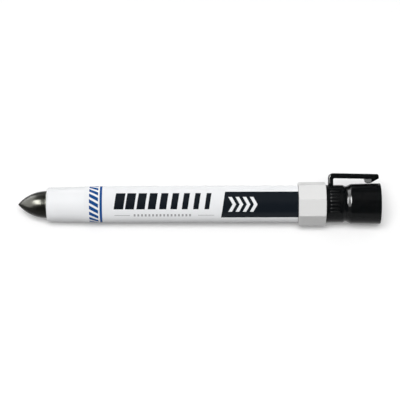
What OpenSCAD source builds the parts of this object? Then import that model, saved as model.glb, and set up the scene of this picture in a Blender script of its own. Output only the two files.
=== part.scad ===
// Solid paint marker: a twist-up paint stick in a labelled barrel, with its cap stored on the knob.
// Lengths are in millimetres. Each piece is drawn along z, which runs from the barrel's mouth
// to the cap, and is then laid along X with one flat of the knob facing down.

/* [Paint stick] */
// Diameter of the stick
stick_d = 11; // [9:0.1:13]
// Length of the stick, tip included
stick_len = 46.5; // [36:0.1:46.8]
// Length of the stick in front of the mouth, which is also its pointed length
tip_out = 11.7; // [8:0.1:14]
// Radius of the blunted tip
tip_round = 0.5; // [0.2:0.05:1.5]
// Depth of the tip behind the mouth when the stick is wound in
tip_hide = 0.8; // [0.4:0.1:2]

/* [Barrel] */
// Length from the mouth to the shoulder that the knob meets
barrel_len = 102.45; // [98:0.05:130]
// Wall of the straight grip, under the label
barrel_wall = 1.1; // [0.8:0.05:2]
// Rise of the outside from the mouth to the straight grip
taper_rise = 0.4; // [0.1:0.05:0.7]
// Length of the tapered front
taper_len = 25.9; // [20:0.1:40]
// Radius of the rounded edge at the mouth
mouth_round = 0.7; // [0.3:0.05:0.9]
// Length of the narrow lip inside the mouth
lip_len = 3; // [2:0.1:6]
// Wall of the neck that the knob turns on
neck_wall = 0.4; // [0.35:0.05:0.8]
// Length of the neck
neck_len = 3.9; // [3:0.1:7]
// Width of each guide rib in the bore
guide_w = 1.6; // [1:0.1:3]
// Height of each guide rib
guide_h = 0.6; // [0.4:0.05:1]

/* [Label] */
// Thickness of the printed film
label_t = 0.1; // [0.05:0.01:0.25]
// Bare length of barrel in front of the film, which the cap slides over
label_start = 15.5; // [13:0.1:19]
// Bare length of barrel behind the film
label_back_gap = 0.05; // [0.05:0.05:4]

/* [Carrier] */
// Depth of the cup that holds the stick
cup_depth = 7; // [4:0.1:10]
// Thickness of the cup's floor
cup_floor = 1.5; // [1:0.1:3]
// Wall of the tail, round the nut
tail_wall = 0.48; // [0.4:0.02:1]
// Radial room between the screw and the tail
tail_room = 0.4; // [0.2:0.05:0.6]
// Length of the nut in the end of the tail
nut_len = 6; // [5:0.1:8]
// Wall of the nut outside its thread
nut_wall = 0.65; // [0.4:0.05:1]
// Thickness of the nut's flange
nut_flange_t = 0.8; // [0.5:0.1:1.5]

/* [Lead screw] */
// Travel of the stick for one turn of the knob
pitch = 5; // [4:0.5:8]
// Largest diameter of the thread
screw_d = 6; // [5.4:0.1:6.6]
// Depth of the rounded thread
thread_depth = 1; // [0.6:0.1:1.2]
// Radial room between the screw and the nut
thread_fit = 0.25; // [0.2:0.01:0.35]
// Width of the thrust flange round the thread
flange_rim = 1.5; // [1:0.1:2.4]
// Thickness of the thrust flange
flange_t = 1.2; // [0.8:0.1:2.5]
// Diameter of the journal in the end bush
journal_d = 4.5; // [3.8:0.1:6]
// Step from the journal down to the corners of the hexagon that drives the screw
hex_step = 0.05; // [0.02:0.01:0.2]
// Length of the snap head behind the knob's web
head_len = 0.8; // [0.5:0.1:1.5]
// Diameter of the nose pin that carries the end stop
nose_pin_d = 3; // [2.4:0.1:3.6]
// Length of the end stop
stop_len = 2; // [1.2:0.1:3]

/* [End bush] */
// Length of the bush inside the barrel
bush_len = 10; // [6:0.1:11]
// Thickness of the bush's flange
bush_flange_t = 0.8; // [0.5:0.1:1.5]
// Thickness of the sealing ring
ring_t = 1.48; // [1:0.02:2]

/* [Knob] */
// Wall of the knob between its neck bore and its flats
knob_wall = 1.64; // [1.6:0.02:3]
// Thickness of the web that the screw drives through
web_t = 2; // [1.2:0.1:3.5]
// Chamfer on the knob's end corners
knob_chamfer = 0.35; // [0.2:0.05:0.6]
// Gap between the barrel's shoulder and the knob
knob_gap = 0.1; // [0.1:0.05:0.6]

/* [Cap] */
// Length of the cap that shows behind the knob
cap_len = 22.3; // [19:0.1:28]
// Wall of the nose
nose_wall = 1.3; // [1.2:0.05:1.6]
// Length of the straight nose
nose_len = 6.85; // [5.6:0.05:8]
// Depth of the groove behind the nose
groove_depth = 0.5; // [0.2:0.05:0.7]
// Length of the groove's front slope
groove_slope_len = 1; // [0.6:0.1:1.6]
// Length of the groove's floor
groove_floor_len = 0.6; // [0.3:0.1:1.2]
// Length of the flare from the groove to the skirt
flare_len = 1.7; // [1.2:0.1:3]
// Distance from the flare to the step inside the skirt
step_back = 0.3; // [0.2:0.05:0.8]
// Wall of the skirt where the flare ends
skirt_wall = 0.8; // [0.6:0.05:1]
// Wall of the skirt at the cap's mouth
rim_wall = 1.05; // [0.8:0.05:1.1]
// Radius of the rounded outer edge at the cap's mouth
rim_round = 0.3; // [0.1:0.05:0.5]
// Thickness of the cap's closed end
end_wall = 4.2; // [2.6:0.1:4.6]
// Diameter of the spigot that plugs into the knob
spigot_d = 10.4; // [8.4:0.1:12]
// Length of the spigot
spigot_len = 4.2; // [3:0.1:6]
// Wall of the spigot
spigot_wall = 1.2; // [0.8:0.1:1.6]
// Depth left in the knob past the end of the spigot
socket_room = 0.3; // [0.2:0.05:1]
// Wall of the seal inside the nose
seal_wall = 0.6; // [0.4:0.05:1]
// Radial room for the stick's tip inside the seal
tip_room = 0.28; // [0.2:0.02:0.8]
// Gap between the knob and the cap
cap_gap = 0.1; // [0.05:0.05:0.4]
// Radial room between the skirt and the barrel's front
cap_fit = 0.125; // [0.05:0.005:0.2]

/* [Thumb grip] */
// Number of thumb ribs on the nose
thumb_ribs = 7; // [3:2:11]
// Height of each thumb rib
thumb_rib_h = 0.3; // [0.15:0.05:0.5]
// Width of each thumb rib
thumb_rib_w = 0.7; // [0.4:0.05:1]
// Length of each thumb rib
thumb_rib_len = 3.9; // [2:0.1:4.4]
// Distance from the cap's front to the thumb ribs
thumb_rib_start = 1.5; // [0.5:0.1:2]
// Angle between thumb ribs, in degrees
thumb_rib_step = 11; // [9:0.5:14]
// Angle from the clip to the middle thumb rib, in degrees
thumb_turn = 82; // [70:1:120]

/* [Clip] */
// Turn of the clip above the level line, in degrees
clip_turn = 34; // [0:1:60]
// Width of the clip
clip_w = 4.5; // [3.6:0.1:6]
// Thickness of the post
post_t = 1.85; // [1.7:0.05:2.4]
// Thickness of the arm
arm_t = 1.9; // [1.5:0.05:2.4]
// Gap between the nose and the arm at its root
clip_rise = 2.75; // [2.6:0.05:4]
// Drop of the arm from its root to its free end
clip_drop = 0.45; // [0.3:0.05:1.1]
// Distance from the cap's mouth back to the clip's free end
clip_end_gap = 0.7; // [0:0.1:2]
// Outer radius of the bend between the post and the arm
clip_bend = 2; // [1:0.1:2.4]
// Inner radius of that bend
clip_inner_bend = 0.6; // [0.3:0.05:1]
// Radius of the upper corner at the free end
clip_end_round = 0.7; // [0.3:0.05:0.8]
// Length from the front of the bead to the free end
bead_len = 6.15; // [4.5:0.05:9]
// Length of the bead's steep front
bead_front_len = 1.2; // [0.8:0.1:2]
// Length of the bead's flat bottom
bead_flat_len = 1.5; // [0.4:0.1:2]
// Rise of the free end's lower corner above the line of the arm's underside
bead_end_rise = 0.3; // [0.1:0.05:0.6]
// Gap between the bead and the skirt
bead_gap = 0.14; // [0.1:0.01:0.3]
// Width of the foot in the cap's pocket
foot_w = 3.6; // [2.8:0.1:4.4]
// Thickness of the foot
foot_t = 1.4; // [1:0.05:1.6]
// Depth of the foot's pivot below the nose's surface
foot_depth = 1.3; // [1:0.05:1.8]
// Room round the clip's foot and under its post
clip_fit = 0.25; // [0.22:0.01:0.3]

/* [Fits] */
// Radial room of a turning fit
running_fit = 0.06; // [0.03:0.01:0.1]
// Radial room of a sliding fit
sliding_fit = 0.2; // [0.15:0.01:0.25]
// Radial room of a pressed fit
press_fit = 0.02; // [0.01:0.01:0.04]
// End play of the screw and the knob
end_play = 0.2; // [0.1:0.05:0.4]

/* [Hidden] */
$fn = 64;
// Overrun of a cut past the face that it goes through
cut = 0.5;
// Overlap of two solids that are joined into one
weld = 0.3;
// Steps of a drawn arc
arc_steps = 10;
// Corners of the thread's circle, and its steps in one turn
thread_steps = 16;

// Radii from the stick outwards
stick_r = stick_d / 2;
lip_r = stick_r + sliding_fit;
bore_r = lip_r + guide_h;
grip_r = bore_r + barrel_wall;
mouth_r = grip_r - taper_rise;
neck_r = bore_r + neck_wall;
knob_r = neck_r + running_fit + knob_wall;
cup_r = bore_r - sliding_fit;

// Radii from the screw outwards
screw_r = screw_d / 2;
journal_r = journal_d / 2;
hex_r = journal_r - hex_step;
tail_bore_r = screw_r + tail_room;
nut_r = screw_r + thread_fit + nut_wall;
tail_r = nut_r + press_fit + tail_wall;
bush_bore_r = journal_r + running_fit;

// Stations along the marker, from the mouth
label_end = barrel_len - label_back_gap;
grip_mid = (taper_len + label_end) / 2;
neck_end = barrel_len + neck_len;
bush_front = neck_end - bush_len;
bush_back = neck_end + bush_flange_t;
flange_back = bush_front - end_play;
flange_front = flange_back - flange_t;
wind_in = tip_out + tip_hide;
stick_base = stick_len - tip_out;
cup_front = stick_base - cup_depth;
cup_back = stick_base + cup_floor;
nut_back = flange_front - end_play - wind_in;
nut_front = nut_back - nut_len;
tail_end = nut_back - nut_flange_t;
screw_front = cup_back + wind_in + end_play;
thread_start = screw_front + stop_len;
knob_front = barrel_len + knob_gap;
web_front = bush_back + end_play;
web_back = web_front + web_t;
knob_back = web_back + spigot_len + socket_room;
knob_len = knob_back - knob_front;
cap_front = knob_back + cap_gap;
cap_back = cap_front + cap_len;
nose_end = cap_front + nose_len;
groove_start = nose_end + groove_slope_len;
flare_start = groove_start + groove_floor_len;
skirt_start = flare_start + flare_len;
skirt_step = skirt_start + step_back;
nose_floor = cap_front + end_wall;

// Radius of the barrel's outside on the tapered front
function taper_r(z) = mouth_r + taper_rise * (z - mouth_round) / (taper_len - mouth_round);

// Radii of the cap: the seal takes the stick's tip, and the skirt goes over the barrel's front
seal_r = stick_r + tip_room;
nose_bore_r = seal_r + seal_wall + press_fit;
nose_r = nose_bore_r + nose_wall;
groove_r = nose_r - groove_depth;
skirt_bore_r = taper_r(cap_back - skirt_step) + cap_fit;
skirt_r = skirt_bore_r + skirt_wall;
rim_r = skirt_bore_r + rim_wall;
spigot_r = spigot_d / 2;

// Places of the clip on the cap
foot_r = foot_t / 2;
foot_z = cap_front + end_wall / 2;
pivot_r = nose_r - foot_depth;
arm_front = foot_z - post_t / 2;
arm_back = cap_back - clip_end_gap;
arm_under = nose_r + clip_rise;
bead_front = arm_back - bead_len;
bead_low = bead_front + bead_front_len;
bead_back = bead_low + bead_flat_len;

// Radius of the skirt's outside
function skirt_r_at(z) = skirt_r + (rim_r - skirt_r) * (z - skirt_start) / (cap_back - skirt_start);

// Height of the arm's underside
function arm_under_at(z) = arm_under - clip_drop * (z - arm_front) / (arm_back - arm_front);

// Points of an arc round [x, y], from one angle to another
function arc(x, y, r, from, to) =
    [for (i = [0:arc_steps]) let (a = from + (to - from) * i / arc_steps) [x + r * cos(a), y + r * sin(a)]];

// The pointed end is an ogive that is tangent to the stick at the mouth and to a ball at the tip.
// The arc's radius is found from the triangle between its centre, the axis and the ball's centre.
ogive_run = tip_out - tip_round;
ogive_rho = (ogive_run * ogive_run + stick_r * stick_r - tip_round * tip_round) / (2 * (stick_r - tip_round));
tip_turn = asin(ogive_run / (ogive_rho - tip_round));

// Puts a piece that is drawn along z where it lies, with the origin at the middle of the grip
module lay() {
    translate([-grip_mid, 0, 0]) rotate([0, 90, 0]) children();
}

// A disc on the axis, or with an inner radius a ring
module ring(from, to, outer_r, inner_r = 0) {
    translate([0, 0, from]) difference() {
        cylinder(h = to - from, r = outer_r);
        if (inner_r > 0) translate([0, 0, -cut]) cylinder(h = to - from + 2 * cut, r = inner_r);
    }
}

// A hexagon on the axis
module hexagon(from, to, corner_r) {
    translate([0, 0, from]) cylinder(h = to - from, r = corner_r, $fn = 6);
}

// The rounded, left-handed thread: a circle carried round the axis, the same for the screw and the nut
module thread(from, to, grow = 0) {
    length = to - from;
    turns = length / pitch;
    steps = ceil(turns * thread_steps);
    translate([0, 0, from]) rotate([0, 0, -360 * from / pitch])
        linear_extrude(height = length, twist = 360 * turns, slices = steps, $fn = thread_steps)
            translate([thread_depth / 2, 0]) circle(r = screw_r - thread_depth / 2 + grow);
}

// Two opposite bars on the radius
module guide_bars(from, to, reach, width) {
    for (side = [0, 180]) rotate([0, 0, side])
        translate([0, -width / 2, from]) cube([reach, width, to - from]);
}

module barrel() {
    rib_front = lip_len - weld;
    rib_back = bush_front - end_play;
    outline = concat(
        [[0, 0]],
        arc(mouth_r - mouth_round, mouth_round, mouth_round, -90, 0),
        [[grip_r, taper_len], [grip_r, barrel_len], [neck_r, barrel_len], [neck_r, neck_end], [0, neck_end]]);
    color("white") lay() {
        difference() {
            rotate_extrude() polygon(outline);
            ring(-cut, lip_len + cut, lip_r);
            ring(lip_len, neck_end + cut, bore_r);
        }
        intersection() {
            ring(rib_front, rib_back, bore_r + weld, bore_r - guide_h);
            guide_bars(rib_front, rib_back, grip_r, guide_w);
        }
    }
}

module label_sleeve() {
    start_r = taper_r(label_start);
    color("ghostwhite") lay() rotate_extrude() polygon([
        [start_r, label_start], [start_r + label_t, label_start], [grip_r + label_t, taper_len],
        [grip_r + label_t, label_end], [grip_r, label_end], [grip_r, taper_len]]);
}

module paint_stick() {
    ball = [for (i = [1:arc_steps]) let (a = (90 - tip_turn) * i / arc_steps)
        [tip_round * sin(a), tip_round - tip_out - tip_round * cos(a)]];
    ogive = [for (i = [1:2 * arc_steps]) let (a = tip_turn * (1 - i / (2 * arc_steps)))
        [stick_r - ogive_rho * (1 - cos(a)), -ogive_rho * sin(a)]];
    color("black") lay() rotate_extrude()
        polygon(concat([[0, -tip_out]], ball, ogive, [[stick_r, stick_base], [0, stick_base]]));
}

module stick_cup() {
    slot_r = bore_r - guide_h - sliding_fit;
    slot_w = guide_w + 2 * sliding_fit;
    color("gainsboro") lay() difference() {
        union() {
            ring(cup_front, cup_back, cup_r);
            ring(cup_back - weld, tail_end, tail_r);
        }
        ring(cup_front - cut, stick_base, stick_r + press_fit);
        ring(cup_back, tail_end + cut, tail_bore_r);
        ring(nut_front - end_play, tail_end + cut, nut_r + press_fit);
        intersection() {
            ring(cup_front - cut, cup_back + cut, grip_r, slot_r);
            guide_bars(cup_front - cut, cup_back + cut, grip_r, slot_w);
        }
    }
}

module drive_nut() {
    color("goldenrod") lay() difference() {
        union() {
            ring(nut_front, tail_end + weld, nut_r);
            ring(tail_end, nut_back, tail_r);
        }
        thread(nut_front - cut, nut_back + cut, thread_fit);
    }
}

module lead_screw() {
    head_front = web_back + press_fit;
    color("lightsteelblue") lay() {
        ring(screw_front, thread_start + weld, nose_pin_d / 2);
        thread(thread_start, flange_front + weld);
        ring(flange_front, flange_back, screw_r + flange_rim);
        ring(flange_back - weld, web_front, journal_r);
        hexagon(web_front - end_play / 2, head_front + weld, hex_r);
        ring(head_front, head_front + head_len, journal_r);
    }
}

module screw_stop() {
    color("silver") lay()
        ring(screw_front, thread_start, tail_bore_r - running_fit, nose_pin_d / 2 + press_fit);
}

module end_bush() {
    color("lightgray") lay() difference() {
        union() {
            ring(bush_front, neck_end, bore_r - press_fit);
            ring(neck_end, bush_back, neck_r);
        }
        ring(bush_front - cut, bush_back + cut, bush_bore_r);
        ring(bush_back - ring_t - press_fit, bush_back + cut, bush_bore_r + ring_t);
    }
}

module seal_ring() {
    section_r = ring_t / 2;
    color("dimgray") lay() translate([0, 0, bush_back - section_r]) rotate_extrude()
        translate([bush_bore_r + section_r, 0]) circle(r = section_r - press_fit);
}

module twist_knob() {
    corner_r = knob_r / cos(22.5);
    end_r = corner_r - knob_chamfer;
    color("whitesmoke") lay() difference() {
        intersection() {
            translate([0, 0, knob_front]) rotate([0, 0, 22.5]) cylinder(h = knob_len, r = corner_r, $fn = 8);
            rotate_extrude() polygon([
                [0, knob_front], [end_r, knob_front], [corner_r, knob_front + knob_chamfer],
                [corner_r, knob_back - knob_chamfer], [end_r, knob_back], [0, knob_back]]);
        }
        ring(knob_front - cut, web_front, neck_r + running_fit);
        hexagon(web_front - cut, web_back + cut, hex_r + press_fit);
        ring(web_back, knob_back + cut, spigot_r + running_fit);
    }
}

// The clip's pocket in the cap's closed end: a round seat for the foot, open outwards
module foot_pocket() {
    seat_r = foot_r + clip_fit;
    seat_w = foot_w + 2 * clip_fit;
    translate([-seat_w / 2, pivot_r, foot_z]) rotate([0, 90, 0]) cylinder(h = seat_w, r = seat_r);
    translate([-seat_w / 2, pivot_r, foot_z - seat_r]) cube([seat_w, nose_r, 2 * seat_r]);
}

// Raised ribs for the thumb, about a quarter turn round from the clip
module thumb_grip() {
    for (i = [0:thumb_ribs - 1]) rotate([0, 0, thumb_turn + thumb_rib_step * (i - (thumb_ribs - 1) / 2)])
        translate([-thumb_rib_w / 2, nose_r - weld, cap_front + thumb_rib_start])
            cube([thumb_rib_w, weld + thumb_rib_h, thumb_rib_len]);
}

module cap_shell() {
    spigot_front = cap_front - spigot_len;
    outline = concat(
        [[spigot_r - spigot_wall, spigot_front], [spigot_r, spigot_front], [spigot_r, cap_front]],
        [[nose_r, cap_front], [nose_r, nose_end], [groove_r, groove_start], [groove_r, flare_start]],
        [[skirt_r, skirt_start]],
        arc(rim_r - rim_round, cap_back - rim_round, rim_round, 0, 90),
        [[skirt_bore_r, cap_back], [skirt_bore_r, skirt_step], [nose_bore_r, skirt_step]],
        [[nose_bore_r, nose_floor], [0, nose_floor], [0, cap_front], [spigot_r - spigot_wall, cap_front]]);
    color("black") lay() rotate([0, 0, clip_turn]) {
        difference() {
            rotate_extrude() polygon(outline);
            foot_pocket();
        }
        thumb_grip();
    }
}

module cap_seal() {
    color("dimgray") lay() difference() {
        ring(nose_floor, skirt_step, nose_bore_r - press_fit);
        ring(nose_floor + seal_wall, skirt_step + cut, seal_r);
    }
}

module pocket_clip() {
    end_under = arm_under_at(arm_back);
    end_top = end_under + arm_t;
    bead_under = skirt_r_at(bead_back) + bead_gap;
    post_back = arm_front + post_t;
    // Side outline as [z, height above the axis], round the post, the bead, the arm's end and the bend
    outline = concat(
        [[arm_front, pivot_r], [post_back, pivot_r]],
        arc(post_back + clip_inner_bend, arm_under_at(post_back) - clip_inner_bend, clip_inner_bend, 180, 90),
        [[bead_front, arm_under_at(bead_front)], [bead_low, bead_under], [bead_back, bead_under]],
        [[arm_back, end_under + bead_end_rise]],
        arc(arm_back - clip_end_round, end_top - clip_end_round, clip_end_round, 0, 90),
        arc(arm_front + clip_bend, arm_under + arm_t - clip_bend, clip_bend, 90, 180));
    color("black") lay() rotate([0, 0, clip_turn]) {
        difference() {
            translate([clip_w / 2, 0, 0]) rotate([0, -90, 0])
                linear_extrude(height = clip_w) polygon(outline);
            ring(cap_front - cut, nose_end, nose_r + clip_fit);
        }
        translate([-foot_w / 2, pivot_r, foot_z]) rotate([0, 90, 0]) cylinder(h = foot_w, r = foot_r);
        translate([-foot_w / 2, pivot_r, foot_z - foot_r])
            cube([foot_w, foot_depth + clip_fit + weld, foot_t]);
    }
}

barrel();
label_sleeve();
paint_stick();
stick_cup();
drive_nut();
lead_screw();
screw_stop();
end_bush();
seal_ring();
twist_knob();
cap_shell();
cap_seal();
pocket_clip();
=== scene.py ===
import math
import bpy
import numpy as np
from mathutils import Matrix, Vector


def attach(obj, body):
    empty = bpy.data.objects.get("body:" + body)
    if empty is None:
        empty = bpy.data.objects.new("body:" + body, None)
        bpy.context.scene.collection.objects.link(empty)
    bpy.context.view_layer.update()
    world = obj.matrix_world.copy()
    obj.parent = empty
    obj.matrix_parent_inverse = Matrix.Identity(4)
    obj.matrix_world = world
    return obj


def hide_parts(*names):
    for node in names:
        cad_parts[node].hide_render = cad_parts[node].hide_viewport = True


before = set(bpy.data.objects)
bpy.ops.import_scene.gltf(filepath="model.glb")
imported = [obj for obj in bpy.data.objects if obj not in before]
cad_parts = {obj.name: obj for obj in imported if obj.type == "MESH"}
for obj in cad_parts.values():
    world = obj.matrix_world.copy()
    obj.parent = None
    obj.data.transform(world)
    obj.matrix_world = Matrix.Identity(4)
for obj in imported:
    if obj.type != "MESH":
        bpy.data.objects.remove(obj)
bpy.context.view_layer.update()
mm = 0.001  # outlines below are in millimetres along the marker and out from its axis
print("stage: frame loaded")

# camera: it looks along +Y and down at the marker, which runs across the picture from its tip to its cap
photoView = {
    "elevation": 56.0,     # degrees above the level
    "distance": 754.6,
    "lens": 166.0,
    "sensor": 36.0,
    "clip": (0.01, 20.0),  # metres
    "aim": -1.57,          # place along the marker in the middle of the picture
    "lift": 1.66,          # middle of the picture above the marker's axis, as seen
    "roll": -0.15,         # degrees
}


def photoCamera(v):
    tilt = math.radians(v["elevation"])
    toCamera = Vector((0, -math.cos(tilt), math.sin(tilt)))
    pictureUp = Vector((0, math.sin(tilt), math.cos(tilt)))
    data = bpy.data.cameras.new("photoCamera")
    data.lens = v["lens"]
    data.sensor_width = v["sensor"]
    data.clip_start, data.clip_end = v["clip"]
    camera = bpy.data.objects.new("photoCamera", data)
    bpy.context.scene.collection.objects.link(camera)
    middle = Vector((v["aim"] * mm, 0, 0)) + pictureUp * v["lift"] * mm
    place = middle + toCamera * v["distance"] * mm
    turn = Matrix((Vector((1, 0, 0)), pictureUp, toCamera)).transposed().to_4x4()
    roll = Matrix.Rotation(math.radians(v["roll"]), 4, "Z")
    camera.matrix_world = Matrix.Translation(place) @ turn @ roll
    bpy.context.scene.camera = camera


photoCamera(photoView)
print("stage: camera placed")


# Rounds the corners of an outline of (along, out, radius). The arc at a corner has its centre on the
# bisector, radius / sin(half angle) away, and ends radius / tan(half angle) along each side. One point more
# on each side, close to the arc, keeps the flat between two arcs flat in the shading.
def roundOutline(corners, steps=6, closed=True):
    support, most = 0.25, 0.2  # that point's distance from the arc, and its limit as a share of the flat
    c = np.array(corners, float)
    if closed:
        before, here, after = np.roll(c, 1, 0), c, np.roll(c, -1, 0)
    else:
        before, here, after = c[:-2], c[1:-1], c[2:]
    p, r = here[:, :2], here[:, 2:]
    a, b = before[:, :2] - p, after[:, :2] - p
    lengthA = np.linalg.norm(a, axis=1, keepdims=True)
    lengthB = np.linalg.norm(b, axis=1, keepdims=True)
    a, b = a / lengthA, b / lengthB
    half = np.arccos(np.clip((a * b).sum(1, keepdims=True), -1, 1)) / 2
    bisector = (a + b) / np.linalg.norm(a + b, axis=1, keepdims=True)
    centre = p + bisector * r / np.sin(half)
    run = r / np.tan(half)
    first, last = p + a * run - centre, p + b * run - centre
    sweep = (np.pi - 2 * half)[:, :, None]
    k = np.linspace(0, 1, steps)[None, :, None]
    arcs = (np.sin((1 - k) * sweep) * first[:, None] + np.sin(k * sweep) * last[:, None]) / np.sin(sweep)
    arcs = arcs + centre[:, None]
    lead = p + a * (run + np.minimum(support, (lengthA - run) * most))
    trail = p + b * (run + np.minimum(support, (lengthB - run) * most))
    points = np.concatenate([lead[:, None], arcs, trail[:, None]], 1).reshape(-1, 2)
    return points if closed else np.concatenate([c[:1, :2], points, c[-1:, :2]])


# Adds a mesh object with its place in its mesh
def addMesh(name, vertices, faces, body, replaced=()):
    mesh = bpy.data.meshes.new(name)
    mesh.from_pydata((np.asarray(vertices).reshape(-1, 3) * mm).tolist(), [], faces)
    mesh.polygons.foreach_set("use_smooth", np.ones(len(mesh.polygons), bool))
    mesh.update()
    piece = bpy.data.objects.new(name, mesh)
    bpy.context.scene.collection.objects.link(piece)
    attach(piece, body)
    if replaced:
        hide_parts(*replaced)
    return piece


# Quads between the rows of a grid. Each row closes on itself, and with loop set the last joins the first.
def gridFaces(rows, columns, loop=False, start=0):
    i = np.arange(rows if loop else rows - 1)[:, None]
    j = np.arange(columns)[None, :]
    down, right = (i + 1) % rows, (j + 1) % columns
    corners = i * columns + j, i * columns + right, down * columns + right, down * columns + j
    quads = np.stack(np.broadcast_arrays(*corners), -1)
    return (quads.reshape(-1, 4) + start).tolist()


# Carries a profile round the axis. Row i and angle a give the point (along i, out(i, a) cos a,
# out(i, a) sin a). A profile that starts and ends on the axis is closed by a fan of triangles at each pole.
def turned(name, along, out, angles, body, replaced, poles=False):
    along, out = np.asarray(along, float), np.asarray(out, float)
    out = np.broadcast_to(out[:, None] if out.ndim == 1 else out, (len(along), len(angles)))
    x = np.broadcast_to(along[:, None], out.shape)
    points = np.stack([x, out * np.cos(angles), out * np.sin(angles)], -1)
    columns = len(angles)
    if not poles:
        return addMesh(name, points, gridFaces(len(along), columns, loop=True), body, replaced)
    rings = points[1:-1].reshape(-1, 3)
    count = len(rings)
    vertices = np.concatenate([rings, [[along[0], 0, 0], [along[-1], 0, 0]]])
    j = np.arange(columns)
    nextJ = (j + 1) % columns
    lastRing = count - columns
    first = np.stack([np.full(columns, count), nextJ, j], 1).tolist()
    last = np.stack([np.full(columns, count + 1), lastRing + j, lastRing + nextJ], 1).tolist()
    faces = gridFaces(len(along) - 2, columns) + first + last
    return addMesh(name, vertices, faces, body, replaced)


def evenTurn(count):
    return np.linspace(0, 2 * np.pi, count, endpoint=False)


fullTurn = evenTurn(160)  # barrel, label and stick share their facets, so that they don't cross

# barrel: a tube with a rounded mouth, a slightly tapered front, a lip in its mouth and a neck for the knob
barrelShape = {
    "mouth": -64.15, "lipEnd": -61.15, "taperEnd": -38.25, "shoulder": 38.42, "neckEnd": 42.2,
    "mouthRadius": 7.0, "gripRadius": 7.4, "neckRadius": 6.7, "boreRadius": 6.3, "lipRadius": 5.7,
    "mouthRound": 1.1, "lipRound": 0.15, "edgeRound": 0.1, "taperRound": 8.0,
    "shoulderRound": 0.12, "neckRound": 0.05,
}


def makeBarrel(s):
    profile = roundOutline([
        (s["mouth"], s["lipRadius"], s["lipRound"]),
        (s["lipEnd"], s["lipRadius"], s["edgeRound"]),
        (s["lipEnd"], s["boreRadius"], s["edgeRound"]),
        (s["neckEnd"], s["boreRadius"], s["edgeRound"]),
        (s["neckEnd"], s["neckRadius"], s["edgeRound"]),
        (s["shoulder"], s["neckRadius"], s["neckRound"]),
        (s["shoulder"], s["gripRadius"], s["shoulderRound"]),
        (s["taperEnd"], s["gripRadius"], s["taperRound"]),
        (s["mouth"], s["mouthRadius"], s["mouthRound"])], steps=9)[::-1]
    return turned("barrelTube", profile[:, 0], profile[:, 1], fullTurn, "barrel", ["barrel"])


barrelTube = makeBarrel(barrelShape)

# guide ribs: two bars on opposite sides of the bore, each a rounded section carried along the barrel
guideShape = {
    "height": 0.6, "width": 1.6, "back": 32.0, "footRound": 0.05, "topRound": 0.15,
    "sunk": 0.05,   # into the bore's wall
    "clear": 0.02,  # behind the mouth's lip
}


def makeGuideRibs(s, barrel):
    half = s["width"] / 2
    outer, inner = barrel["boreRadius"] + s["sunk"], barrel["boreRadius"] - s["height"]
    section = roundOutline([
        (-half, outer, s["footRound"]), (-half, inner, s["topRound"]),
        (half, inner, s["topRound"]), (half, outer, s["footRound"])])
    count = len(section)
    along = np.array([barrel["lipEnd"] + s["clear"], s["back"]])
    side = np.array([1.0, -1.0])[:, None, None]
    x = np.broadcast_to(along[None, :, None], (2, 2, count))
    y = np.broadcast_to(side * section[None, None, :, 0], x.shape)
    z = np.broadcast_to(side * section[None, None, :, 1], x.shape)
    faces = gridFaces(2, count) + gridFaces(2, count, start=2 * count)
    ends = np.arange(4 * count).reshape(4, count)
    faces += [ends[0][::-1].tolist(), ends[1].tolist(), ends[2][::-1].tolist(), ends[3].tolist()]
    return addMesh("guideRibs", np.stack([x, y, z], -1), faces, "barrel")


guideRibs = makeGuideRibs(guideShape, barrelShape)

# label: a thin film round the barrel, whose profile follows the barrel's taper
labelShape = {
    "front": -48.65, "taperEnd": -38.25, "back": 38.38, "frontRadius": 7.235, "gripRadius": 7.4,
    "film": 0.1, "taperRound": 8.0, "innerRound": 0.02, "outerRound": 0.04,
}


def makeLabel(s):
    frontOut, gripOut = s["frontRadius"] + s["film"], s["gripRadius"] + s["film"]
    profile = roundOutline([
        (s["front"], s["frontRadius"], s["innerRound"]),
        (s["taperEnd"], s["gripRadius"], s["taperRound"]),
        (s["back"], s["gripRadius"], s["innerRound"]),
        (s["back"], gripOut, s["outerRound"]),
        (s["taperEnd"], gripOut, s["taperRound"]),
        (s["front"], frontOut, s["outerRound"])], steps=7)[::-1]
    return turned("labelFilm", profile[:, 0], profile[:, 1], fullTurn, "barrel", ["label_sleeve"])


labelFilm = makeLabel(labelShape)

# paint stick: a straight stick with an ogive tip, which is an arc tangent to the stick and to the ball at
# the tip. Low waves are the turned rings near the barrel's mouth, and a small arc is the rim that the paint
# set with there.
stickShape = {
    "tip": -75.85, "mouth": -64.15, "base": -29.35, "radius": 5.5, "ball": 0.5, "rows": 150, "ballRows": 9,
    "ringsFront": -66.9, "ringStep": 0.7, "ringHeight": 0.008, "rim": 0.55, "rimRound": 1.0,
    "rimBack": (0.4, 1.2),  # from the mouth, where the rim's height starts and stops running out
    "tailRound": 0.2,
}


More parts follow.
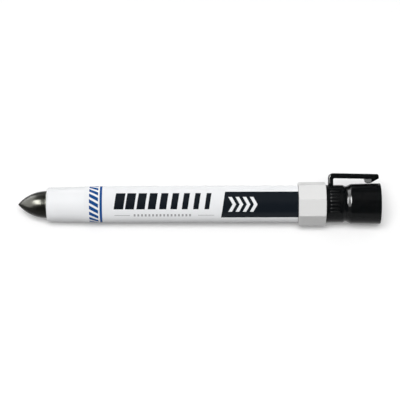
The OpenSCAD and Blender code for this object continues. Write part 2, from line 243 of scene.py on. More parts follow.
def makePaintStick(s):
    mouth, radius = s["mouth"], s["radius"]
    run = mouth - s["tip"] - s["ball"]
    rho = (run * run + radius ** 2 - s["ball"] ** 2) / (2 * (radius - s["ball"]))
    meet = math.asin(run / (rho - s["ball"]))
    a = np.linspace(0, np.pi / 2 - meet, s["ballRows"])
    ball = np.stack([s["tip"] + s["ball"] * (1 - np.cos(a)), s["ball"] * np.sin(a)], 1)
    b = np.linspace(meet, 0, s["rows"])[1:]
    x = mouth - rho * np.sin(b)
    fromRim = np.maximum(x - mouth + s["rim"], 0)
    rise = s["rimRound"] - np.sqrt(s["rimRound"] ** 2 - fromRim ** 2)
    beat = (x - s["ringsFront"]) / s["ringStep"]
    ringed = np.clip(beat, 0, 1) * np.clip(1 - fromRim / s["rim"], 0, 1)
    rings = s["ringHeight"] * ringed * np.cos(2 * np.pi * beat)
    ogive = np.stack([x, radius - rho * (1 - np.cos(b)) + rings + rise], 1)
    rim, (rimEnd, slopeEnd) = ogive[-1, 1], s["rimBack"]
    tail = roundOutline([
        (mouth, rim, 0), (mouth + rimEnd, rim, s["tailRound"]), (mouth + slopeEnd, radius, s["tailRound"]),
        (s["base"], radius, s["tailRound"]), (s["base"], 0, 0)], closed=False)
    profile = np.concatenate([ball, ogive, tail[1:]])
    along, out = profile[:, 0], profile[:, 1]
    return turned("paintTip", along, out, fullTurn, "carrier", ["paint_stick"], poles=True)


paintTip = makePaintStick(stickShape)
print("stage: barrel, label and paint stick made")

# knob: an eight-sided ring with softened edges, whose corners are cut by a cone at both ends. Its distance
# from the axis is octagon - soft ln(1 + e^((octagon - cone) / soft)), the smaller of the two, blended.
knobShape = {
    "front": 38.48, "back": 49.7, "sides": 8, "flat": 8.4, "edge": 0.35, "corner": 9.092, "cut": 0.35,
    "soft": 0.06, "lip": 0.1, "neckBore": 6.76, "neckEdge": 0.1, "webFront": 43.2, "webBack": 45.2,
    "socket": 5.26, "socketEdge": 0.12, "hexagon": 2.0, "hexRound": 0.1, "hexEdge": 0.05,
    "arcPoints": 9, "sidePoints": 9, "sideGap": 0.012,  # round the knob, and the turn between the two
    "lipRows": (0, 0.3, 0.5, 0.7, 0.87, 1.0),           # shares of the lip's quarter round
    "rows": (0.2, 0.28, 0.36, 0.44, 0.6, 4.0),          # behind the lip, from each end
}


# Distance from the axis to a polygon with rounded corners. On a side it is flat / cos(turn from the side's
# middle), and at a corner it is the far crossing of the ray with the circle that rounds the corner.
def polygonOut(turn, sides, flat, edge):
    half = np.pi / sides
    t = np.abs((turn + half) % (2 * half) - half)
    centre = (flat - edge) / np.cos(half)
    off = half - t
    corner = centre * np.cos(off) + np.sqrt(np.maximum(edge ** 2 - (centre * np.sin(off)) ** 2, 0))
    return np.where(t < np.arctan((flat - edge) * np.tan(half) / flat), flat / np.cos(t), corner)


def makeKnob(s):
    front, back, webFront, webBack = s["front"], s["back"], s["webFront"], s["webBack"]
    half = np.pi / s["sides"]
    edgeTurn = half - math.atan((s["flat"] - s["edge"]) * math.tan(half) / s["flat"])
    arc = np.linspace(-edgeTurn, edgeTurn, s["arcPoints"])
    sideTurn = np.linspace(edgeTurn + s["sideGap"], 2 * half - edgeTurn - s["sideGap"], s["sidePoints"])
    sector = np.concatenate([arc, sideTurn]) + half
    turn = (sector[None, :] + 2 * half * np.arange(s["sides"])[:, None]).ravel()
    octagon = polygonOut(turn, s["sides"], s["flat"], s["edge"])
    quarter = np.array(s["lipRows"]) * np.pi / 2
    inset = s["lip"] * (1 - np.sin(quarter))
    depth = np.concatenate([s["lip"] * (1 - np.cos(quarter)), s["rows"]])
    along = np.concatenate([front + depth, back - depth[::-1]])
    inset = np.concatenate([inset, np.zeros(len(along) - 2 * len(inset)), inset[::-1]])
    cone = s["corner"] - s["cut"] + np.minimum(along - front, back - along)
    over = (octagon[None, :] - cone[:, None]) / s["soft"]
    outer = octagon[None, :] - s["soft"] * np.logaddexp(0, over) - inset[:, None]
    # the profile starts at the hexagon, runs forwards through the neck's bore, back over the outside and
    # through the cap's socket to the hexagon again
    ring = np.ones(len(turn))
    neck, socket = ring * s["neckBore"], ring * s["socket"]
    hexagon = polygonOut(turn, 6, s["hexagon"], s["hexRound"])
    hexWide = hexagon + s["hexEdge"]
    frontOut = [hexagon, hexWide, neck, neck, ring * (s["neckBore"] + s["neckEdge"])]
    frontAlong = [webFront + s["hexEdge"], webFront, webFront, front + s["neckEdge"], front]
    rearOut = [ring * (s["socket"] + s["socketEdge"]), socket, socket, hexWide, hexagon]
    rearAlong = [back, back - s["socketEdge"], webBack, webBack, webBack - s["hexEdge"]]
    allAlong = np.concatenate([frontAlong, along, rearAlong])
    allOut = np.concatenate([frontOut, outer, rearOut])
    return turned("twistKnob", allAlong, allOut, turn, "knob", ["twist_knob"])


twistKnob = makeKnob(knobShape)
print("stage: knob made")

# cap: spigot, closed end, nose, groove, flare and skirt in one profile from axis to axis
capShape = {
    "front": 49.8, "spigotFront": 45.6, "spigot": 5.2, "spigotBore": 4.0, "nose": 7.7, "noseEnd": 56.65,
    "groove": 7.2, "grooveFront": 57.65, "grooveBack": 58.25, "skirtFront": 59.95, "skirt": 8.102,
    "rim": 8.352, "mouth": 72.1, "bore": 7.302, "step": 60.25, "noseBore": 6.4, "floor": 54.0,
    "smallRound": 0.15, "spigotRound": 0.3, "noseRound": 0.22, "noseEndRound": 0.35, "grooveRound": 0.5,
    "flareStart": 1.3, "flareEnd": 1.6, "rimRound": 0.3, "mouthRound": 0.25, "boreRound": 0.2,
    "stepRound": 0.1, "facets": 192,
}


def makeCap(s):
    profile = roundOutline([
        (s["front"], 0, 0),
        (s["front"], s["spigotBore"], s["smallRound"]),
        (s["spigotFront"], s["spigotBore"], s["smallRound"]),
        (s["spigotFront"], s["spigot"], s["spigotRound"]),
        (s["front"], s["spigot"], s["smallRound"]),
        (s["front"], s["nose"], s["noseRound"]),
        (s["noseEnd"], s["nose"], s["noseEndRound"]),
        (s["grooveFront"], s["groove"], s["grooveRound"]),
        (s["grooveBack"], s["groove"], s["flareStart"]),
        (s["skirtFront"], s["skirt"], s["flareEnd"]),
        (s["mouth"], s["rim"], s["rimRound"]),
        (s["mouth"], s["bore"], s["mouthRound"]),
        (s["step"], s["bore"], s["boreRound"]),
        (s["step"], s["noseBore"], s["stepRound"]),
        (s["floor"], s["noseBore"], s["boreRound"]),
        (s["floor"], 0, 0)], steps=8, closed=False)
    along, out = profile[:, 0], profile[:, 1]
    return turned("capBody", along, out, evenTurn(s["facets"]), "cap", ["cap_shell"], poles=True)


capBody = makeCap(capShape)

# thumb ribs: seven low bars along the nose. A bar is half of a rounded block on a grid, with
# |u|^4 + |v|^4 + w^2 = 1, where u runs along the marker, v round it and w outwards.
thumbShape = {
    "count": 7, "step": 11.0, "middle": 116.0,    # step and middle are degrees round the axis
    "front": 51.3, "back": 55.2, "width": 0.7, "height": 0.3, "sunk": 0.06, "columns": 32, "rows": 8,
}


def makeThumbRibs(s, nose):
    columns, rows = s["columns"], s["rows"]
    angle = evenTurn(columns)
    rise = np.linspace(0, np.pi / 2, rows, endpoint=False)
    reach = np.cos(rise) ** 0.5
    lift = np.sin(rise)
    corner = (np.abs(np.cos(angle)) ** 4 + np.abs(np.sin(angle)) ** 4) ** -0.25
    u = reach[:, None] * corner * np.cos(angle)
    v = reach[:, None] * corner * np.sin(angle)
    w = np.broadcast_to(lift[:, None], u.shape)
    top = np.array([[0.0, 0.0, 1.0]])
    rib = np.concatenate([np.stack([u, v, w], -1).reshape(-1, 3), top])
    middle, halfLength = (s["front"] + s["back"]) / 2, (s["back"] - s["front"]) / 2
    place = np.radians(s["middle"] + s["step"] * (np.arange(s["count"]) - (s["count"] - 1) / 2))[:, None]
    out = nose - s["sunk"] + (s["height"] + s["sunk"]) * rib[None, :, 2]
    turn = place - rib[None, :, 1] * s["width"] / 2 / nose
    x = np.broadcast_to(middle + halfLength * rib[None, :, 0], turn.shape)
    points = np.stack([x, out * np.cos(turn), out * np.sin(turn)], -1)
    # the faces of one bar, moved on by the number of its points for each bar after it
    count = len(rib)
    j = np.arange(columns)
    quads = np.array(gridFaces(rows, columns))
    lastRing = (rows - 1) * columns
    fan = np.stack([lastRing + j, lastRing + (j + 1) % columns, np.full(columns, count - 1)], 1)
    offset = np.arange(s["count"])[:, None, None] * count
    faces = (quads[None] + offset).reshape(-1, 4).tolist()
    faces += (fan[None] + offset).reshape(-1, 3).tolist()
    faces += (j[None, ::-1] + offset[:, 0]).tolist()
    return addMesh("thumbRibs", points, faces, "cap")


thumbRibs = makeThumbRibs(thumbShape, capShape["nose"])

# clip: a rounded section carried up the post, round the bend and along the arm. At each station the section
# runs from a point of the inner line to a point of the outer line, with wide rounds outside and small ones
# inside. The bead hangs under the arm: seen from below it widens from a narrow bow, and its sides lean in a
# little.
clipShape = {
    "turn": 34.0,                                       # degrees round the axis
    "front": 50.8, "postBack": 52.825, "back": 71.4, "under": 10.45, "drop": 0.45, "thick": 2.08,
    "width": 4.5, "outerEdge": 0.9, "innerEdge": 0.25, "outerPoints": 9, "innerPoints": 6,
    "edgeLimit": 0.95,                                  # the outer edge's most, of half the thickness
    "foot": 7.72, "postRows": (7.2, 8.4), "bendGap": 0.2, "bend": 2.0, "innerBend": 0.6, "bendRows": 14,
    "endRise": 0.3, "tipRound": 0.7, "tipThick": 0.6,
    "beadFront": 65.5, "beadLow": 65.85, "beadBack": 68.15, "beadUnder": 8.41,
    "beadRounds": (0.1, 1.0, 1.2),                      # at those three places
    "beadBow": 0.2, "beadFlare": 0.6, "beadHalf": 1.95, "beadLean": 0.05, "beadRound": 0.25,
    "beadFlat": 0.6, "beadFoot": 0.08, "leanLeast": 0.3,
    # stations along the arm, with the number of them last
    "plainRows": (-0.3, 12),                            # end, from the bead's front
    "closeRows": (-0.15, 0.9, 36),                      # start and end, from the bead's front
    "restRows": (1.0, -0.85, 40),                       # start from the bead's front, end from the back
    "tipRows": (0.8, 10),                               # length of the tip, where they crowd
}


def makeClip(s):
    front, back, bead = s["front"], s["back"], s["beadFront"]
    slope = s["drop"] / (back - front)

    def underAt(x):
        return s["under"] - slope * (x - front)

    innerX, innerY = s["postBack"] + s["innerBend"], underAt(s["postBack"]) - s["innerBend"]
    outerX, outerY = front + s["bend"], s["under"] + s["thick"] - s["bend"] - slope * s["bend"]
    # the bead's underside is the outline's lower edge, read off at each place along the arm
    frontRound, lowRound, backRound = s["beadRounds"]
    low = roundOutline([
        (innerX, underAt(innerX), 0), (bead, underAt(bead), frontRound),
        (s["beadLow"], s["beadUnder"], lowRound), (s["beadBack"], s["beadUnder"], backRound),
        (back, underAt(back) + s["endRise"], 0)], steps=10, closed=False)
    plainEnd, plainCount = s["plainRows"]
    closeStart, closeEnd, closeCount = s["closeRows"]
    restStart, restEnd, restCount = s["restRows"]
    tipRun, tipCount = s["tipRows"]
    armX = np.concatenate([
        np.linspace(innerX, bead + plainEnd, plainCount)[1:],
        np.linspace(bead + closeStart, bead + closeEnd, closeCount),
        np.linspace(bead + restStart, back + restEnd, restCount),
        back - tipRun + tipRun * np.sin(np.linspace(0, np.pi / 2, tipCount))])
    lowest = np.interp(armX, low[:, 0], low[:, 1])
    armLow = np.maximum(lowest, underAt(armX))
    intoTip = np.maximum(armX - back + s["tipRound"], 0) / s["tipRound"]
    armTop = underAt(armX) + s["thick"] - s["tipRound"] * (1 - np.sqrt(np.maximum(1 - intoTip ** 2, 0)))
    armTop = np.maximum(armTop, armLow + s["tipThick"])
    postHigh = [*s["postRows"], innerY - s["bendGap"]]
    quarter = np.linspace(np.pi, np.pi / 2, s["bendRows"])

    def clipLine(postX, bendX, bendY, bend, armY):
        post = np.stack([np.full(len(postHigh), postX), postHigh], 1)
        bow = np.stack([bendX + bend * np.cos(quarter), bendY + bend * np.sin(quarter)], 1)
        return np.concatenate([post, bow, np.stack([armX, armY], 1)])

    inner = clipLine(s["postBack"], innerX, innerY, s["innerBend"], armLow)
    outer = clipLine(front, outerX, outerY, s["bend"], armTop)
    middle, half = (inner + outer) / 2, np.linalg.norm(outer - inner, axis=1, keepdims=True) / 2
    reach = (outer - inner) / 2 / half
    # half of the section, as (up, wide) from its middle: the bead's side, the inner and the outer round
    turnOut = np.linspace(0, np.pi / 2, s["outerPoints"])
    turnIn = np.linspace(np.pi / 2, 0, s["innerPoints"])
    halfWidth = s["width"] / 2
    eo, ei = np.minimum(s["outerEdge"], half * s["edgeLimit"]), s["innerEdge"]
    outUp, outWide = half - eo + eo * np.sin(turnOut), halfWidth - eo + eo * np.cos(turnOut)
    inUp = -half + ei - ei * np.sin(turnIn)
    inWide = np.broadcast_to(halfWidth - ei + ei * np.cos(turnIn), inUp.shape)
    # the bead's side as (lean, drop) for a depth of one, and its depth at each station, none off the bead
    side = roundOutline([
        (0, 0, 0), (s["beadLean"], 1, s["beadRound"]), (s["beadFlat"], 1, 0)], closed=False)
    side = np.insert(side[:-1], 1, side[1] * s["beadFoot"], axis=0)[::-1]
    depth = np.maximum(inner[:, 1:] - np.concatenate([inner[:-len(armX), 1], lowest])[:, None], 0)
    beadHalf = s["beadBow"] + s["beadFlare"] * (middle[:, :1] - bead)
    beadHalf = np.clip(beadHalf, s["beadBow"], s["beadHalf"])
    leanRun = np.minimum(np.maximum(depth, s["leanLeast"]), beadHalf)
    beadUp, beadWide = -half - depth * side[:, 1], beadHalf - leanRun * side[:, 0]
    halfUp = np.concatenate([beadUp, inUp, outUp], 1)
    wider = np.concatenate([beadWide, inWide, outWide], 1)
    up = np.concatenate([halfUp, halfUp[:, ::-1]], 1)
    wide = np.concatenate([-wider, wider[:, ::-1]], 1)
    x = middle[:, :1] + reach[:, :1] * up
    high = middle[:, 1:] + reach[:, 1:] * up
    high = np.maximum(high, np.sqrt(s["foot"] ** 2 - wide ** 2))  # the post ends on the cap's nose
    turn = math.radians(s["turn"])
    y = high * math.cos(turn) - wide * math.sin(turn)
    z = high * math.sin(turn) + wide * math.cos(turn)
    rows, count = x.shape
    faces = gridFaces(rows, count)
    faces += [np.arange(count)[::-1].tolist(), ((rows - 1) * count + np.arange(count)).tolist()]
    return addMesh("pocketClip", np.stack([x, y, z], -1), faces, "clip", ["pocket_clip"])


pocketClip = makeClip(clipShape)
print("stage: cap and clip made")


# A shader value. Operators on it add Math nodes, and node() adds any other node to the same tree.
class Shade:
    def __init__(self, tree, socket=None):
        self.tree, self.socket = tree, socket

    def node(self, kind, settings=None, inputs=None, out=0):
        made = self.tree.nodes.new(kind)
        for key, value in (settings or {}).items():
            setattr(made, key, value)
        for key, value in (inputs or {}).items():
            if isinstance(value, Shade):
                self.tree.links.new(value.socket, made.inputs[key])
            else:
                made.inputs[key].default_value = value
        return Shade(self.tree, made.outputs[out] if len(made.outputs) else None)

    def also(self, out):
        return Shade(self.tree, self.socket.node.outputs[out])

    def maths(self, operation, *values):
        return self.node("ShaderNodeMath", {"operation": operation}, dict(enumerate(values)))

    def __add__(self, other):
        return self.maths("ADD", self, other)

    def __sub__(self, other):
        return self.maths("SUBTRACT", self, other)

    def __rsub__(self, other):
        return self.maths("SUBTRACT", other, self)

    def __mul__(self, other):
        return self.maths("MULTIPLY", self, other)

    def __truediv__(self, other):
        return self.maths("DIVIDE", self, other)

    def __mod__(self, other):
        return self.maths("FLOORED_MODULO", self, other)

    def __lt__(self, other):
        return self.maths("LESS_THAN", self, other)

    def __gt__(self, other):
        return self.maths("GREATER_THAN", self, other)

    def __abs__(self):
        return self.maths("ABSOLUTE", self)

    __radd__, __rmul__ = __add__, __mul__


# Empties the nodes of a material or a world
def emptyTree(owner):
    owner.use_nodes = True
    owner.node_tree.nodes.clear()
    return Shade(owner.node_tree)


# Starts a material and gives its tree, with the place on the object in millimetres as a vector
def startMaterial(name):
    material = bpy.data.materials.new(name)
    root = emptyTree(material)
    place = root.node("ShaderNodeTexCoord", out="Object")
    place = root.node("ShaderNodeVectorMath", {"operation": "SCALE"}, {0: place, "Scale": 1 / mm})
    return material, root, place


# In the looks below a pattern is given by its scale per millimetre, its detail and at times its stretch
def noise(place, scale, detail, stretch=None):
    if stretch:
        place = place.node("ShaderNodeVectorMath", {"operation": "MULTIPLY"}, {0: place, 1: stretch})
    return place.node("ShaderNodeTexNoise", {}, {"Vector": place, "Scale": scale, "Detail": detail})


# How far a pattern moves a value up and down
def sway(pattern, amount, middle=0.5):
    return (pattern - middle) * amount


# The Mix node's colours are its sockets 6 and 7, and its mixed colour is output 2
def mixColour(factor, a, b):
    return factor.node("ShaderNodeMix", {"data_type": "RGBA"}, {0: factor, 6: a, 7: b}, out=2)


def bump(height, distance):
    return height.node("ShaderNodeBump", {}, {"Height": height, "Distance": distance * mm})


def finishMaterial(root, inputs):
    surface = root.node("ShaderNodeBsdfPrincipled", {}, inputs)
    root.node("ShaderNodeOutputMaterial", {}, {"Surface": surface})


def wear(piece, material):
    piece.data.materials.clear()
    piece.data.materials.append(material)


# white plastic: faint clouding, moulded skin in the bump and gloss that varies a little
whiteLook = {
    "colour": (0.855, 0.863, 0.876, 1), "shade": (0.825, 0.833, 0.846, 1), "rough": 0.24, "chalk": 0.3,
    "cloud": (0.12, 4.0), "skin": (3.2, 2.0), "shadeGain": 1.6, "shadeLoss": 0.5,
    "cloudGloss": 0.12, "skinGloss": 0.1, "skinDepth": 0.004, "ior": 1.46, "specular": 0.3,
}
knobLook = dict(
    whiteLook, colour=(0.738, 0.738, 0.733, 1), shade=(0.713, 0.713, 0.708, 1), rough=0.4, chalk=0.0)


def whitePlastic(name, look):
    material, root, place = startMaterial(name)
    cloud = noise(place, *look["cloud"])
    skin = noise(place, *look["skin"])
    shaded = cloud * look["shadeGain"] - look["shadeLoss"]
    finishMaterial(root, {
        "Base Color": mixColour(shaded, look["colour"], look["shade"]),
        "Roughness": look["rough"] + sway(skin, look["skinGloss"]) + sway(cloud, look["cloudGloss"]),
        "Normal": bump(skin, look["skinDepth"]),
        "IOR": look["ior"],
        "Specular IOR Level": look["specular"],
        "Diffuse Roughness": look["chalk"],
    })
    return material


barrelWhite = whitePlastic("barrelWhite", whiteLook)
knobWhite = whitePlastic("knobWhite", knobLook)

# printed film: x runs along the marker, and across goes round it from the middle of the printed side, both
# in millimetres. A band or a mark is where one of these, or a leaning sum of both, lies between two values.
printLook = {
    "white": (0.818, 0.826, 0.838, 1), "shade": (0.798, 0.806, 0.818, 1), "ink": (0.009, 0.0125, 0.0175, 1),
    "blue": (0.012, 0.075, 0.27, 1), "grey": (0.38, 0.385, 0.39, 1), "rough": 0.2, "chalk": 0.72,
    "fibre": (0.5, 4.0), "fine": (6.0, 2.0), "shadeGain": 1.4, "shadeLoss": 0.4, "fibreGloss": 0.08,
    "inkGloss": 0.03, "fineHeight": 0.4, "inkHeight": 0.5, "depth": 0.004, "ior": 1.46, "specular": 0.1,
    "faces": 124.0,                     # degrees round the axis to the middle of the printed side
    "slant": 0.147, "radius": 7.5,
    "panelFront": 7.83, "panelMiddle": -0.33, "panelHalf": 5.81,
    "barsFront": -36.3, "barsBack": 5.0, "barsLow": -2.12, "barsHigh": 4.8, "barPitch": 4.6,
    "barWide": 0.89, "barLoss": 0.5,    # share of the pitch that is dark, and its loss along the row
    "smallMiddle": -4.85, "ruleHalf": 0.13, "rules": ((-36.3, -30.0), (-2.4, 4.2)),
    "dots": (-28.5, -4.5), "dotHalf": 0.58, "dotPitch": 1.5, "dotWide": 0.5,
    "chevrons": (11.6, 23.2), "chevronPitch": 2.9, "chevronPoint": 0.55, "chevronWide": 0.5,
    "chevronMiddle": -0.15, "chevronHalf": 3.1,
    "hatch": (-46.6, -42.9), "hatchCount": 18, "hatchLean": 0.22, "hatchWide": 0.6, "ring": (-42.3, -41.3),
}


def within(value, low, high):
    return (value > low) * (value < high)


def printedFilm(look):
    material, root, place = startMaterial("printedFilm")
    x = root.node("ShaderNodeSeparateXYZ", {}, {0: place})
    around = math.radians(look["faces"]) - root.maths("ARCTAN2", x.also("Z"), x.also("Y"))
    # the back repeats the print, so the way round starts again every half turn
    across = ((around + math.pi / 2) % math.pi - math.pi / 2) * look["radius"]
    lean = x - across * look["slant"]
    panel = (lean > look["panelFront"]) * (abs(across - look["panelMiddle"]) < look["panelHalf"])
    fromBars = lean - look["barsFront"]
    share = fromBars / (look["barsBack"] - look["barsFront"])
    beat = (fromBars / look["barPitch"]) % 1.0
    bars = (beat < look["barWide"] - share * look["barLoss"]) * within(share, 0.0, 1.0)
    bars = bars * within(across, look["barsLow"], look["barsHigh"])
    fromSmall = abs(across - look["smallMiddle"])
    frontRule, backRule = look["rules"]
    rule = (fromSmall < look["ruleHalf"]) * (within(x, *frontRule) + within(x, *backRule))
    dots = (fromSmall < look["dotHalf"]) * within(x, *look["dots"])
    dots = dots * ((x / look["dotPitch"]) % 1.0 < look["dotWide"])
    fromPoint = abs(across - look["chevronMiddle"])
    bent = x + fromPoint * look["chevronPoint"]
    marks = ((bent / look["chevronPitch"]) % 1.0 < look["chevronWide"]) * within(bent, *look["chevrons"])
    marks = marks * (fromPoint < look["chevronHalf"])
    hatchTurn = around * (look["hatchCount"] / (2 * math.pi)) + x * look["hatchLean"]
    hatch = (hatchTurn % 1.0 < look["hatchWide"]) * within(x, *look["hatch"])
    ring = within(x, *look["ring"])
    ink = root.maths("MAXIMUM", panel, bars)
    fibre = noise(place, *look["fibre"])
    fine = noise(place, *look["fine"])
    colour = mixColour(fibre * look["shadeGain"] - look["shadeLoss"], look["white"], look["shade"])
    colour = mixColour(ink, colour, look["ink"])
    colour = mixColour(root.maths("MAXIMUM", hatch, ring), colour, look["blue"])
    colour = mixColour(root.maths("MAXIMUM", rule, dots), colour, look["grey"])
    colour = mixColour(panel * marks, colour, look["white"])
    height = fine * look["fineHeight"] + ink * (1 - marks) * look["inkHeight"]
    finishMaterial(root, {
        "Base Color": colour,
        "Roughness": look["rough"] + sway(fibre, look["fibreGloss"]) + ink * look["inkGloss"],
        "Normal": bump(height, look["depth"]),
        "IOR": look["ior"],
        "Specular IOR Level": look["specular"],
        "Diffuse Roughness": look["chalk"],
    })
    return material


printedWhite = printedFilm(printLook)

# solid paint: waxy black with fine turned lines round it
paintLook = {
    "colour": (0.004, 0.004, 0.0035, 1), "pale": (0.012, 0.012, 0.0105, 1), "sheen": (1.0, 1.0, 0.88, 1),
    "lines": (3.4, 3.0, (1, 0.05, 0.05)), "smear": (0.35, 4.0), "grain": (4.0, 3.0), "paleGain": 1.6,
    "rough": 0.24, "smearGloss": 0.14, "lineGloss": 0.12, "lineHeight": 0.8, "grainHeight": 0.3,
    "depth": 0.01, "ior": 1.45, "specular": 0.1,
}


def waxyPaint(look):
    material, root, place = startMaterial("waxyPaint")
    lines = noise(place, *look["lines"])
    smear = noise(place, *look["smear"])
    grain = noise(place, *look["grain"])
    finishMaterial(root, {
        "Base Color": mixColour(lines * smear * look["paleGain"], look["colour"], look["pale"]),
        "Roughness": look["rough"] + sway(smear, look["smearGloss"]) + sway(lines, look["lineGloss"]),
        "Normal": bump(lines * look["lineHeight"] + grain * look["grainHeight"], look["depth"]),
        "IOR": look["ior"],
        "Specular IOR Level": look["specular"],
        "Specular Tint": look["sheen"],
    })
    return material


waxyBlack = waxyPaint(paintLook)

# black gloss plastic of the cap and the clip, with faint flow marks and handling haze in its gloss
capLook = {
    "colour": (0.0022, 0.0028, 0.0032, 1), "pale": (0.0052, 0.0056, 0.0058, 1), "rough": 0.13,
    "haze": (0.45, 4.0), "hazeMiddle": 0.45, "hazeGloss": 0.22, "skin": (2.2, 2.0), "skinDepth": 0.005,
    "ior": 1.45, "specular": 0.1,
}
ribLook = dict(capLook, rough=0.36)


def glossBlack(name, look):
    material, root, place = startMaterial(name)
    haze = noise(place, *look["haze"])
    skin = noise(place, *look["skin"])
    finishMaterial(root, {
        "Base Color": mixColour(haze, look["colour"], look["pale"]),
        "Roughness": look["rough"] + sway(haze, look["hazeGloss"], look["hazeMiddle"]),
        "Normal": bump(skin, look["skinDepth"]),
        "IOR": look["ior"],
        "Specular IOR Level": look["specular"],
    })
    return material


capBlack = glossBlack("glossBlack", capLook)
ribBlack = glossBlack("satinBlack", ribLook)

# inner pieces: natural or dark moulded plastic with a soft speckle, each with two colours and a roughness
innerSkin = {"cloud": (0.6, 4.0), "skin": (4.0, 2.0), "skinGloss": 0.16, "skinDepth": 0.006}
innerLooks = {
    "stick_cup": ("carrierNatural", (0.74, 0.74, 0.71, 1), (0.66, 0.66, 0.62, 1), 0.42),
    "drive_nut": ("nutAcetal", (0.66, 0.60, 0.45, 1), (0.58, 0.52, 0.38, 1), 0.4),
    "screw_stop": ("stopAcetal", (0.64, 0.58, 0.44, 1), (0.57, 0.51, 0.38, 1), 0.4),
    "lead_screw": ("screwAcetal", (0.75, 0.76, 0.78, 1), (0.67, 0.68, 0.70, 1), 0.34),
    "end_bush": ("bushGrey", (0.60, 0.61, 0.62, 1), (0.52, 0.53, 0.54, 1), 0.45),
    "seal_ring": ("sealRubber", (0.028, 0.028, 0.028, 1), (0.045, 0.045, 0.045, 1), 0.7),
    "cap_seal": ("linerRubber", (0.04, 0.04, 0.04, 1), (0.06, 0.06, 0.058, 1), 0.65),
}


def mouldedPlastic(name, colour, shade, rough, look):
    material, root, place = startMaterial(name)
    cloud = noise(place, *look["cloud"])
    skin = noise(place, *look["skin"])
    finishMaterial(root, {
        "Base Color": mixColour(cloud, colour, shade),
        "Roughness": rough + sway(skin, look["skinGloss"]),
        "Normal": bump(skin, look["skinDepth"]),
    })
    return material


for node, innerLook in innerLooks.items():
    wear(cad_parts[node], mouldedPlastic(*innerLook, innerSkin))

for piece, material in (
        (barrelTube, barrelWhite), (guideRibs, barrelWhite), (labelFilm, printedWhite),
        (paintTip, waxyBlack), (twistKnob, knobWhite),
        (capBody, capBlack), (thumbRibs, ribBlack), (pocketClip, capBlack)):
    wear(piece, material)
print("stage: materials set")

# floor: the marker lies on its label and on its knob's front edge, so the floor runs down by that slope
floorSetup = {
    "front": (-38.25, -7.5), "back": (38.5, -8.4), "gap": 0.01,  # where the marker lies on it, along and up
    "size": 4.0,              # metres
    "shade": 0.21,            # what it throws back at the marker
    "glow": 0.18,             # share of its own white in what is seen of it near the marker
    "fade": (300.0, 1000.0),  # from the marker, where that share begins to grow and is full
}


def makeFloor(s):
    (x0, z0), (x1, z1) = s["front"], s["back"]
    slope = (z1 - z0) / (x1 - x0)
    half = s["size"] / 2
    corner = np.array([[-half, -half], [half, -half], [half, half], [-half, half]])
    z = z0 * mm + slope * (corner[:, :1] - x0 * mm) - s["gap"] * mm
    mesh = bpy.data.meshes.new("floor")
    mesh.from_pydata(np.concatenate([corner, z], 1).tolist(), [], [[0, 1, 2, 3]])
    floor = bpy.data.objects.new("floor", mesh)
    bpy.context.scene.collection.objects.link(floor)
    material, root, place = startMaterial("floorWhite")
    path = root.node("ShaderNodeLightPath", out="Is Camera Ray")
    seen = root.maths("MAXIMUM", path, path.also("Is Glossy Ray"))
    seen = root.maths("MAXIMUM", seen, path.also("Is Transmission Ray"))
    # far from the marker, where the lamps don't reach, the floor fades into the white room
    away = root.node("ShaderNodeVectorMath", {"operation": "LENGTH"}, {0: place}, out="Value")
    near, far = s["fade"]
    fade = root.node("ShaderNodeMapRange", {"interpolation_type": "SMOOTHSTEP"}, {0: away, 1: near, 2: far})
    glowShare = fade * (1 - s["glow"]) + s["glow"]
    grey, white = (s["shade"], s["shade"], s["shade"], 1), (1, 1, 1, 1)
    paper = root.node("ShaderNodeBsdfDiffuse", {}, {"Color": mixColour(seen, grey, white)})
    glow = root.node("ShaderNodeEmission", {}, {"Color": white, "Strength": 1.0})
    surface = root.node("ShaderNodeMixShader", {}, {0: seen * glowShare, 1: paper, 2: glow})
    root.node("ShaderNodeOutputMaterial", {}, {"Surface": surface})
    wear(floor, material)


makeFloor(floorSetup)

# room: even light, white where the camera sees it and dark in reflections
roomSetup = {"light": 0.31, "gloss": 0.0, "seen": 1.0}


def makeRoom(s):
    world = bpy.data.worlds.new("softRoom")
    bpy.context.scene.world = world
    root = emptyTree(world)
    gloss = root.node("ShaderNodeLightPath", out="Is Glossy Ray")
    seen = gloss.also("Is Camera Ray")
    strength = s["light"] - gloss * (s["light"] - s["gloss"]) + seen * (s["seen"] - s["light"])
    room = root.node("ShaderNodeBackground", {}, {"Color": (1, 1, 1, 1), "Strength": strength})
    root.node("ShaderNodeOutputWorld", {}, {"Surface": room})


makeRoom(roomSetup)


# The pieces that a lamp is kept to
def lampPieces(name, *pieces):
    kept = bpy.data.collections.new(name)
    for piece in pieces:
        kept.objects.link(piece)
    return kept


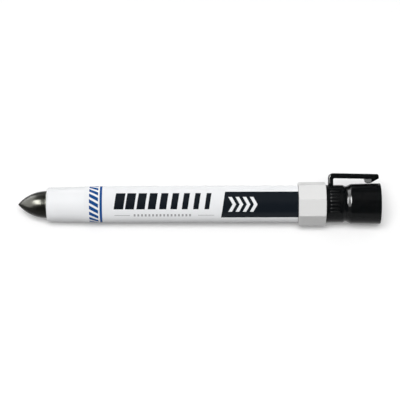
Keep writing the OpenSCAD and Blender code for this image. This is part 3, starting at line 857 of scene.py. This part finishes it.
blackPieces = lampPieces("blackPieces", paintTip, capBody, thumbRibs, pocketClip)
rimPieces = lampPieces("rimPieces", twistKnob)

# lamps, in metres and watts, aimed at the middle of the marker where no aim is given. The two strong ones
# on the left show in the black pieces only, so that they don't wash out the print, and a weak one behind
# lights the knob's far upper side.
lamps = {
    "keyLight": {"size": (1.2, 0.84), "place": (-0.15, -0.53, 1.715), "power": 28.0, "gloss": False},
    "topSheen": {"size": (1.2, 0.8), "place": (0.0, 0.168, 0.864), "power": 1.7, "diffuse": False},
    "coreLight": {"size": (0.62, 0.27), "place": (-0.56, -0.16, 0.785), "aim": (0.0, -0.16, 0.0),
                  "power": 105.0, "diffuse": False, "seenIn": blackPieces},
    "leftBox": {"size": (2.0, 0.8), "place": (-0.85, 0.38, 0.47), "aim": (0.0, 0.38, 0.47),
                "power": 108.0, "diffuse": False, "seenIn": blackPieces},
    "rimLight": {"size": (0.6, 0.2), "place": (0.044, 0.9, 0.13), "aim": (0.044, 0.0, 0.0),
                 "power": 2.0, "gloss": False, "seenIn": rimPieces},
    "backBox": {"size": (0.8, 0.6), "place": (-0.42, 0.82, 0.44), "power": 3.5, "diffuse": False},
    "backStrip": {"size": (1.0, 0.12), "place": (-0.38, 0.96, 0.28), "aim": (-0.38, 0.0, 0.0),
                  "power": 0.6, "diffuse": False},
}


def softLight(name, s):
    data = bpy.data.lights.new(name, "AREA")
    data.shape = "RECTANGLE"
    data.size, data.size_y = s["size"]
    data.energy = s["power"]
    lamp = bpy.data.objects.new(name, data)
    bpy.context.scene.collection.objects.link(lamp)
    place, aim = Vector(s["place"]), Vector(s.get("aim", (0, 0, 0)))
    lamp.location = place
    lamp.rotation_mode = "QUATERNION"
    lamp.rotation_quaternion = (aim - place).to_track_quat("-Z", "Y")
    lamp.visible_diffuse = s.get("diffuse", True)
    lamp.visible_glossy = s.get("gloss", True)
    lamp.light_linking.receiver_collection = s.get("seenIn")


for lampName, lamp in lamps.items():
    softLight(lampName, lamp)
bpy.context.scene.view_settings.view_transform = "Standard"
print("stage: floor and light set")
